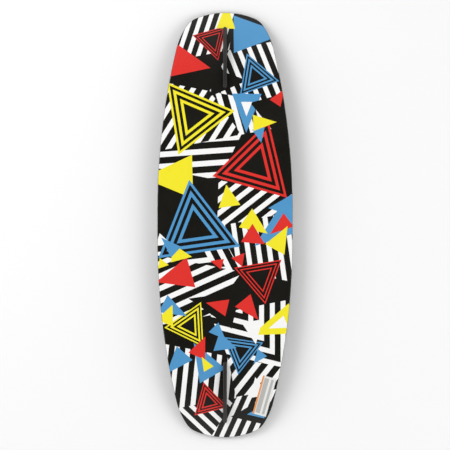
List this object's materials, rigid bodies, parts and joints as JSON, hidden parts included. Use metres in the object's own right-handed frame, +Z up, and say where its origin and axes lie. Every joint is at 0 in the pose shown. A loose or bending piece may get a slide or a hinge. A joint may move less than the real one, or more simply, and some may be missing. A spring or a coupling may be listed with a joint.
{
  "type": "wakeboard",
  "caption": "Twin-tip wakeboard with a printed base, layered foam-core build, edge rails, threaded binding inserts and a bolted centre fin near each tip.",
  "frame": {"origin": "on the ground, under the middle of the board as it lies base up on its two tips", "axes": "+X across the board, +Y from the tail to the nose, +Z up, out of the base"},
  "size_m": [0.428, 1.35, 0.0822],
  "materials": {
    "base_print": "clear-coated printed ABS sheet",
    "deck_print": "clear-coated printed ABS sheet",
    "glass_laminate": "glass fibre in dark resin",
    "foam": "closed-cell polyurethane foam",
    "rail_plastic": "satin ABS sidewall",
    "stringer_wood": "raw laminated wood",
    "dense_block": "dense polyurethane",
    "insert_brass": "machined",
    "stainless": "stainless steel, satin",
    "sleeve_aluminium": "plain turned aluminium",
    "fin_plastic": "textured moulded plastic",
    "label_vinyl": "blank vinyl with a plain orange band",
    "ink_black": "printed black under clear coat",
    "ink_white": "printed white under clear coat",
    "ink_red": "printed red under clear coat",
    "ink_yellow": "printed yellow under clear coat",
    "ink_blue": "printed blue under clear coat"
  },
  "bodies": {
    "root": {"base_laminate": "glass_laminate", "base_sheet": "base_print", "blank_label": "label_vinyl", "deck_laminate": "glass_laminate", "deck_sheet": "deck_print", "foam_core": "foam", "left_rail": "rail_plastic", "left_stringer": "stringer_wood", "nose_fin": "fin_plastic", "nose_fin_nuts": "insert_brass", "nose_fin_screws": "stainless", "nose_fin_sleeves": "sleeve_aluminium", "nose_fin_washers": "stainless", "nose_foot_inner_block": "dense_block", "nose_foot_inner_inserts": "insert_brass", "nose_foot_outer_block": "dense_block", "nose_foot_outer_inserts": "insert_brass", "nose_foot_patch": "glass_laminate", "right_rail": "rail_plastic", "right_stringer": "stringer_wood", "tail_fin": "fin_plastic", "tail_fin_nuts": "insert_brass", "tail_fin_screws": "stainless", "tail_fin_sleeves": "sleeve_aluminium", "tail_fin_washers": "stainless", "tail_foot_inner_block": "dense_block", "tail_foot_inner_inserts": "insert_brass", "tail_foot_outer_block": "dense_block", "tail_foot_outer_inserts": "insert_brass", "tail_foot_patch": "glass_laminate"}
  },
  "joints": []
}
